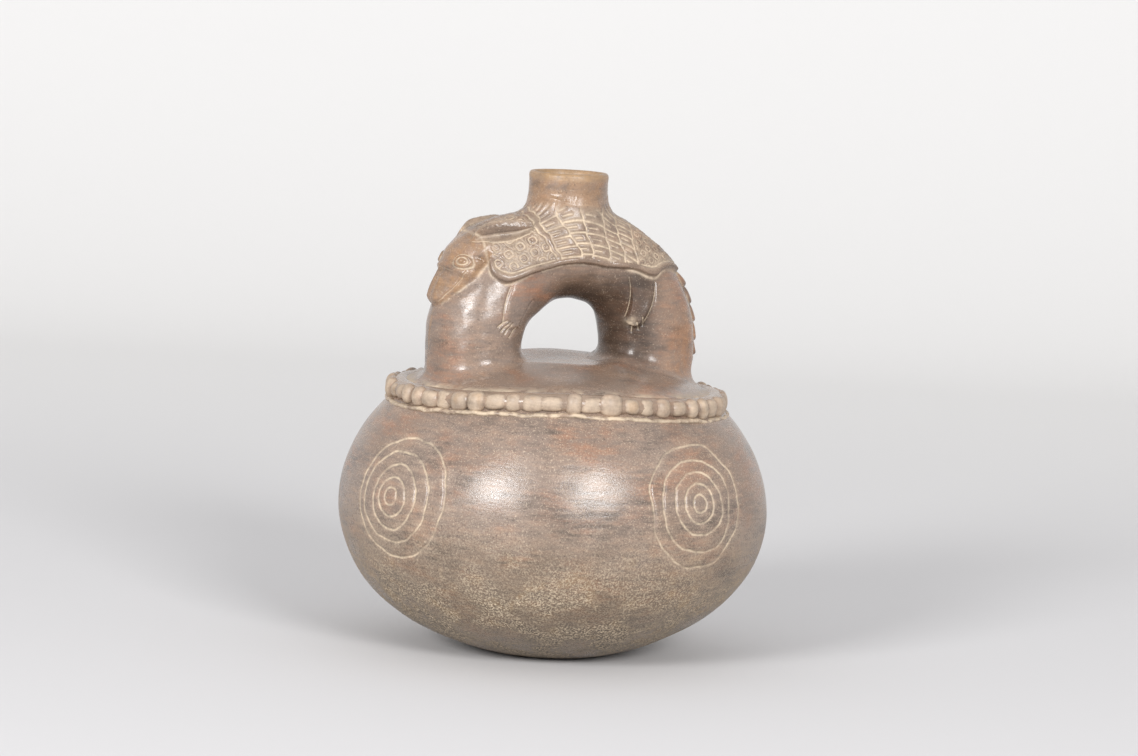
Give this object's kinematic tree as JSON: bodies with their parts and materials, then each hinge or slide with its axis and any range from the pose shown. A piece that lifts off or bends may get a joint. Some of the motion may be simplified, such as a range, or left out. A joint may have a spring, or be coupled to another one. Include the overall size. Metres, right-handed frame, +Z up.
{
  "type": "stirrup spout vessel",
  "caption": "Round hollow clay bottle with a pressed collar and a tubular stirrup handle that carries a short spout; an armadillo in relief straddles the stirrup.",
  "frame": {"origin": "centre of the flat that the vessel stands on, under the middle of its body", "axes": "+Z up the axis of the body and spout; the stirrup lies in the XZ plane, the animal's head towards -X and its tail towards +X"},
  "size_m": [0.22, 0.22, 0.246],
  "materials": {
    "burnished_clay": "burnished grey-brown fired clay, unglazed, with cream slip left in its incised lines"
  },
  "bodies": {
    "root": {"vessel": "burnished_clay"}
  },
  "joints": []
}
